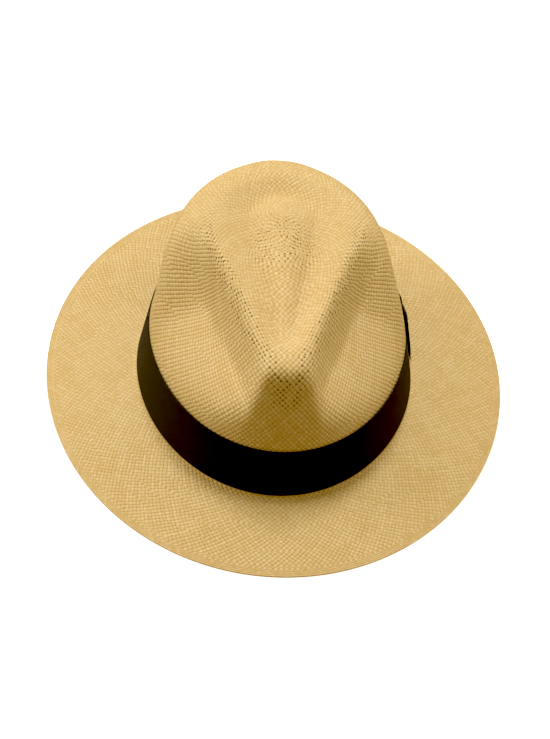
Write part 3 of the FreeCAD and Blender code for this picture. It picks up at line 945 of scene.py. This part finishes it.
class HAT_OT_bow(Operator):
    """Model the flat bow: its tail, its folded loop and its knot."""

    bl_idname = "hat.bow"
    bl_label = "Bow"

    def execute(self, context):
        ribbon = context.scene.hat_ribbon
        middle = float(ribbon_low(np.array(BOW_ANGLE))) + ribbon.height / 2
        tail_level, loop_level = bow_levels(ribbon)
        self.add_tail(ribbon, middle, tail_level)
        self.add_loop(ribbon, middle, loop_level)
        self.add_knot(ribbon, middle, tail_level, loop_level)
        return {"FINISHED"}

    def add_tail(self, ribbon, middle, level):
        """Flat ribbon behind the loop, with a notch cut in each end."""
        across = np.linspace(0.5, -0.5, SHEET_ROWS + 1)[:, None]
        share = np.linspace(-1, 1, TAIL_COLUMNS + 1)[None, :]
        reach = ribbon.tail_length / 2 - ribbon.notch * (1 - 2 * np.abs(across))
        lifted = TAIL_END_LIFT * smooth(0.75, 1.0, np.abs(share))
        offset = level + ribbon.thickness / 2 + lifted
        points = bow_point(share * reach, middle + across * ribbon.height, offset)
        tail = add_sheet("bow_tail_ribbon", points, ribbon.thickness)
        finish_piece(tail, grosgrain(ribbon), "ribbon", "bow_tail")

    def add_loop(self, ribbon, middle, level):
        """Ribbon folded flat on itself and gathered a little where the knot holds it."""
        across = np.linspace(0.5, -0.5, SHEET_ROWS + 1)[:, None]
        turn = np.linspace(-math.pi / 2, 3 * math.pi / 2, LOOP_COLUMNS + 1)[None, :]
        along = ribbon.loop_length / 2 * np.sign(np.cos(turn)) * np.abs(np.cos(turn)) ** 0.6
        free = smooth(LOOP_HELD, LOOP_FREE, np.abs(along))
        fullness = LOOP_FULLNESS + LOOP_FREE_FULLNESS * free
        rise = 1 + np.sign(np.sin(turn)) * np.abs(np.sin(turn)) ** 0.7
        gathers = GATHER_DEPTH * (1 - free) * np.cos(TURN * across * GATHERS) * (rise > 1)
        offset = level + ribbon.thickness / 2 + fullness * rise + gathers
        height = ribbon.loop_height * (GATHERED_HEIGHT + (1 - GATHERED_HEIGHT) * free)
        points = bow_point(along, middle + across * height, offset)
        loop = add_sheet("bow_loop_ribbon", points, ribbon.thickness)
        finish_piece(loop, grosgrain(ribbon), "ribbon", "bow_loop")

    def add_knot(self, ribbon, middle, tail_level, loop_level):
        """Narrow ribbon that wraps the middle of the bow from its top edge to its lower edge."""
        turn = np.linspace(0, math.pi, KNOT_ROWS + 1)[:, None]
        across = np.linspace(-0.5, 0.5, SHEET_ROWS + 1)[None, :]
        half_height = ribbon.height / 2 + KNOT_OVERHANG
        depth = loop_level + KNOT_LIFT + 2.0 * ribbon.thickness + LAYER_GAP - tail_level
        z = half_height * np.sign(np.cos(turn)) * np.abs(np.cos(turn)) ** 0.35
        pleats = GATHER_DEPTH * np.cos(TURN * across * PLEATS)
        offset = tail_level + (depth + pleats) * np.sin(turn) ** 0.35
        width = ribbon.knot_width * (KNOT_NARROWEST + (1 - KNOT_NARROWEST) * np.abs(np.cos(turn)))
        points = bow_point(across * width, middle + z, offset)
        knot = add_sheet("bow_knot_ribbon", points, ribbon.thickness)
        finish_piece(knot, grosgrain(ribbon), "ribbon", "bow_knot")


class HAT_OT_ribbon_stitches(Operator):
    """Sew the band and the bow on with small upright stitches."""

    bl_idname = "hat.ribbon_stitches"
    bl_label = "Ribbon Stitches"

    def execute(self, context):
        ribbon = context.scene.hat_ribbon
        material = sewing_thread("black_polyester_thread", ribbon.shade)
        offset = RIBBON_GAP + ribbon.thickness + THREAD_RADIUS
        tacks = []
        for number in range(BAND_TACKS):
            angle = BOW_ANGLE + TURN * (number + 1) / (BAND_TACKS + 1)
            z = ribbon_low(angle) + ribbon.height - TACK_INSET
            tacks.append(wall_stitch("tack", angle, z, offset, TACK_LENGTH, True))
        finish_piece(join_pieces("band_tack_threads", tacks), material, "ribbon_thread", "band_tacks")
        tail_level, _ = bow_levels(ribbon)
        half = (ribbon.tail_length / 2 - END_INSET) / HALF_LENGTH
        low = float(ribbon_low(np.array(BOW_ANGLE)))
        offset = tail_level + TAIL_END_LIFT + ribbon.thickness + THREAD_RADIUS
        tacks = []
        for side in (-1, 1):
            for z in (low + BOW_TACK_INSET, low + ribbon.height - BOW_TACK_INSET):
                tacks.append(wall_stitch("tack", BOW_ANGLE + side * half, z, offset, TACK_LENGTH, True))
        finish_piece(join_pieces("bow_tack_threads", tacks), material, "ribbon_thread", "bow_tacks")
        return {"FINISHED"}


def wall_stitch(name, angle, z, offset, length, upright, facing=1):
    """A stitch on a face of the crown wall, level or upright, seen from outside or inside."""
    middle = Vector(oval_point(np.array(angle), np.array(z), offset).tolist())
    out_x, out_y = outward(angle)
    outwards = Vector((out_x, out_y, 0)) * facing
    along = Vector((0, 0, 1)) if upright else Vector((-out_y, out_x, 0))
    return add_stitch(name, middle, along, outwards, length)


def inside_offset(straw):
    """Offset of the sweatband's outer face from the outside of the straw."""
    return -straw.thickness - SWEATBAND_GAP


def sweat_low(angle):
    """Height of the sweatband's lower edge."""
    return break_height(angle) + SWEATBAND_LIFT


class HAT_OT_sweatband(Operator):
    """Model the leather sweatband, its reed and the tape over its joint."""

    bl_idname = "hat.sweatband"
    bl_label = "Sweatband"

    def execute(self, context):
        straw = context.scene.hat_straw
        lining = context.scene.hat_sweatband
        self.add_leather(straw, lining)
        self.add_reed(straw, lining)
        self.add_tape(straw, lining)
        return {"FINISHED"}

    def add_leather(self, straw, lining):
        """One strip of leather round the head, its ends butted at the back."""
        joint = LEATHER_JOINT / HALF_WIDTH
        angles = np.linspace(math.pi + joint, math.pi + TURN - joint, ROUND_COLUMNS + 1)
        waves = 1 + np.sin(5 * angles) * np.cos(3 * angles)
        points = []
        for row in range(SHEET_ROWS + 1):
            up = 1 - row / SHEET_ROWS
            ease = LEATHER_EASE * waves * smooth(0.4, 1.0, up)
            offset = inside_offset(straw) - LEATHER_LIFT - ease
            points.append(oval_point(angles, sweat_low(angles) + lining.height * up, offset))
        band = add_sheet("leather_sweatband", np.array(points), lining.thickness, side=-1.0)
        sharp = {"limit_method": "ANGLE", "angle_limit": 1.0}
        apply_modifier(band, "BEVEL", width=LEATHER_BEVEL, segments=2, **sharp)
        finish_piece(band, sweatband_leather(lining), "sweatband_leather", "sweatband")

    def add_reed(self, straw, lining):
        """A thin reed wrapped in cloth, under the lower edge of the leather."""
        angles = even_angles(ROUND_COLUMNS)
        points = []
        for corner in range(REED_CORNERS + 1):
            turn = TURN * (1 - corner / REED_CORNERS)
            offset = inside_offset(straw) - lining.reed + lining.reed * math.cos(turn)
            z = sweat_low(angles) - lining.reed + lining.reed * math.sin(turn)
            points.append(oval_point(angles, z, offset))
        reed = add_sheet("covered_reed", np.array(points), 0.0)
        finish_piece(reed, cotton_tape(), "reed_cloth", "sweatband_reed", angle=90)

    def add_tape(self, straw, lining):
        """Cotton tape sewn over the joint of the leather at the back of the head."""
        half = lining.tape_width / 2 / HALF_WIDTH
        angles = np.linspace(math.pi - half, math.pi + half, TAPE_COLUMNS + 1)
        offset = inside_offset(straw) - lining.thickness - SWEATBAND_GAP - TAPE_LIFT
        points = wall_strip(angles, sweat_low(angles), lining.height, offset, SHEET_ROWS)
        tape = add_sheet("joint_tape", points, lining.tape_thickness)
        finish_piece(tape, cotton_tape(), "reed_cloth", "sweatband_joint_tape")


class HAT_OT_sweatband_stitches(Operator):
    """Sew the sweatband in and the tape over its joint."""

    bl_idname = "hat.sweatband_stitches"
    bl_label = "Sweatband Stitches"

    def execute(self, context):
        straw = context.scene.hat_straw
        lining = context.scene.hat_sweatband
        material = sewing_thread("waxed_linen_thread", lining.thread)
        count = round(TURN * (HALF_LENGTH + HALF_WIDTH) / 2 / STITCH_PITCH)
        face = inside_offset(straw) - lining.thickness - LEATHER_LIFT
        tape_edge = lining.tape_width / 2 / HALF_WIDTH + SEAM_STOP
        threads = []
        for number in range(count):
            angle = TURN * (number + 0.5) / count
            if abs(angle - math.pi) > tape_edge:
                z = sweat_low(angle) + SEAM_HEIGHT
                threads.append(wall_stitch("stitch", angle, z, face, STITCH_LENGTH, False, -1))
        seam = join_pieces("sweatband_threads", threads)
        finish_piece(seam, material, "sweatband_thread", "sweatband_stitches")
        offset = face - SWEATBAND_GAP - TAPE_LIFT - lining.tape_thickness / 2
        half = (lining.tape_width / 2 - END_INSET) / HALF_WIDTH
        threads = []
        for side in (-1, 1):
            angle = math.pi + side * half
            for row in range(int((lining.height - TAPE_SEAM_START) / STITCH_PITCH)):
                z = sweat_low(angle) + TAPE_SEAM_START + row * STITCH_PITCH
                threads.append(wall_stitch("stitch", angle, z, offset, STITCH_LENGTH, True, -1))
        finish_piece(join_pieces("tape_threads", threads), material, "sweatband_thread", "tape_stitches")
        return {"FINISHED"}


class HAT_OT_stage(Operator):
    """Set the floor, the lights and the camera."""

    bl_idname = "hat.stage"
    bl_label = "Stage"

    def execute(self, context):
        stage = context.scene.hat_stage
        self.add_floor(stage)
        self.add_softbox("key_softbox", KEY_PLACE, KEY_WIDTH, stage.key_power)
        self.add_softbox("left_softbox", LEFT_PLACE, SIDE_WIDTH, stage.left_power)
        self.add_softbox("right_softbox", RIGHT_PLACE, SIDE_WIDTH, stage.right_power)
        world = bpy.data.worlds.new("studio")
        world.use_nodes = True
        background = world.node_tree.nodes["Background"]
        background.inputs["Color"].default_value = linear("FFE8A8")
        background.inputs["Strength"].default_value = WORLD_STRENGTH
        context.scene.world = world
        look = context.scene.view_settings
        look.view_transform = "Standard"
        look.use_curve_mapping = True
        look.curve_mapping.black_level = (stage.black_point,) * 3
        self.add_camera(context)
        return {"FINISHED"}

    def add_floor(self, stage):
        """A pale studio floor under the hat's lowest point."""
        deselect_all()
        bpy.ops.mesh.primitive_plane_add(size=2 * stage.floor, location=(0, 0, 0))
        floor = bpy.context.active_object
        floor.name = "studio_floor"
        for corner in floor.data.vertices:
            corner.co.z = CAD_BOX[0][2] - FLOOR_GAP
        material, _, shader = new_material("pale_paper")
        shader.inputs["Base Color"].default_value = list(stage.backdrop)
        shader.inputs["Roughness"].default_value = 0.9
        shader.inputs["Emission Color"].default_value = (1, 1, 1, 1)
        shader.inputs["Emission Strength"].default_value = FLOOR_GLOW
        floor.data.materials.append(material)
        floor.visible_diffuse = False
        floor.visible_glossy = False

    def add_softbox(self, name, place, width, power):
        """A square softbox that faces the hat."""
        light = bpy.data.lights.new(name, "AREA")
        light.size = width
        light.energy = power
        lamp = bpy.data.objects.new(name, light)
        lamp.location = place
        lamp.rotation_euler = (Vector(LIT_POINT) - Vector(place)).to_track_quat("-Z", "Y").to_euler()
        bpy.context.scene.collection.objects.link(lamp)

    def add_camera(self, context):
        """The camera in front of the hat, looking down at it."""
        level = math.cos(CAMERA_ELEVATION)
        side = math.sin(CAMERA_TURN)
        forward = math.cos(CAMERA_TURN)
        back = Vector((side * level, -forward * level, math.sin(CAMERA_ELEVATION)))
        lens = bpy.data.cameras.new("camera")
        lens.lens = CAMERA_LENS
        lens.sensor_width = CAMERA_SENSOR
        lens.shift_x = CAMERA_SHIFT_X
        lens.shift_y = CAMERA_SHIFT_Y
        lens.clip_end = CAMERA_REACH
        camera = bpy.data.objects.new("camera", lens)
        camera.location = Vector(CAMERA_TARGET) + back * CAMERA_DISTANCE
        camera.rotation_euler = back.to_track_quat("Z", "Y").to_euler()
        camera.rotation_euler.rotate_axis("Z", CAMERA_ROLL)
        context.scene.collection.objects.link(camera)
        context.scene.camera = camera


class HAT_PT_maker(Panel):
    """Lists the steps that model the hat."""

    bl_label = "Straw Hat Maker"
    bl_idname = "HAT_PT_maker"
    bl_space_type = "VIEW_3D"
    bl_region_type = "UI"
    bl_category = "Straw Hat"

    def draw(self, context):
        for step in STEPS:
            self.layout.operator(step.bl_idname)


SETTINGS = (StrawSettings, RibbonSettings, SweatbandSettings, StageSettings)
STEPS = (
    HAT_OT_straw_body,
    HAT_OT_ribbon_band,
    HAT_OT_bow,
    HAT_OT_ribbon_stitches,
    HAT_OT_sweatband,
    HAT_OT_sweatband_stitches,
    HAT_OT_stage,
)


def register():
    """Registers the classes and their settings."""
    for kind in SETTINGS + STEPS + (HAT_PT_maker,):
        bpy.utils.register_class(kind)
    bpy.types.Scene.hat_straw = PointerProperty(type=StrawSettings)
    bpy.types.Scene.hat_ribbon = PointerProperty(type=RibbonSettings)
    bpy.types.Scene.hat_sweatband = PointerProperty(type=SweatbandSettings)
    bpy.types.Scene.hat_stage = PointerProperty(type=StageSettings)


def unregister():
    """Removes the classes and their settings."""
    del bpy.types.Scene.hat_stage
    del bpy.types.Scene.hat_sweatband
    del bpy.types.Scene.hat_ribbon
    del bpy.types.Scene.hat_straw
    for kind in reversed(SETTINGS + STEPS + (HAT_PT_maker,)):
        bpy.utils.unregister_class(kind)


def main():
    """Models the hat."""
    register()
    for step in STEPS:
        group, name = step.bl_idname.split(".")
        getattr(getattr(bpy.ops, group), name)()


if __name__ == "__main__":
    main()
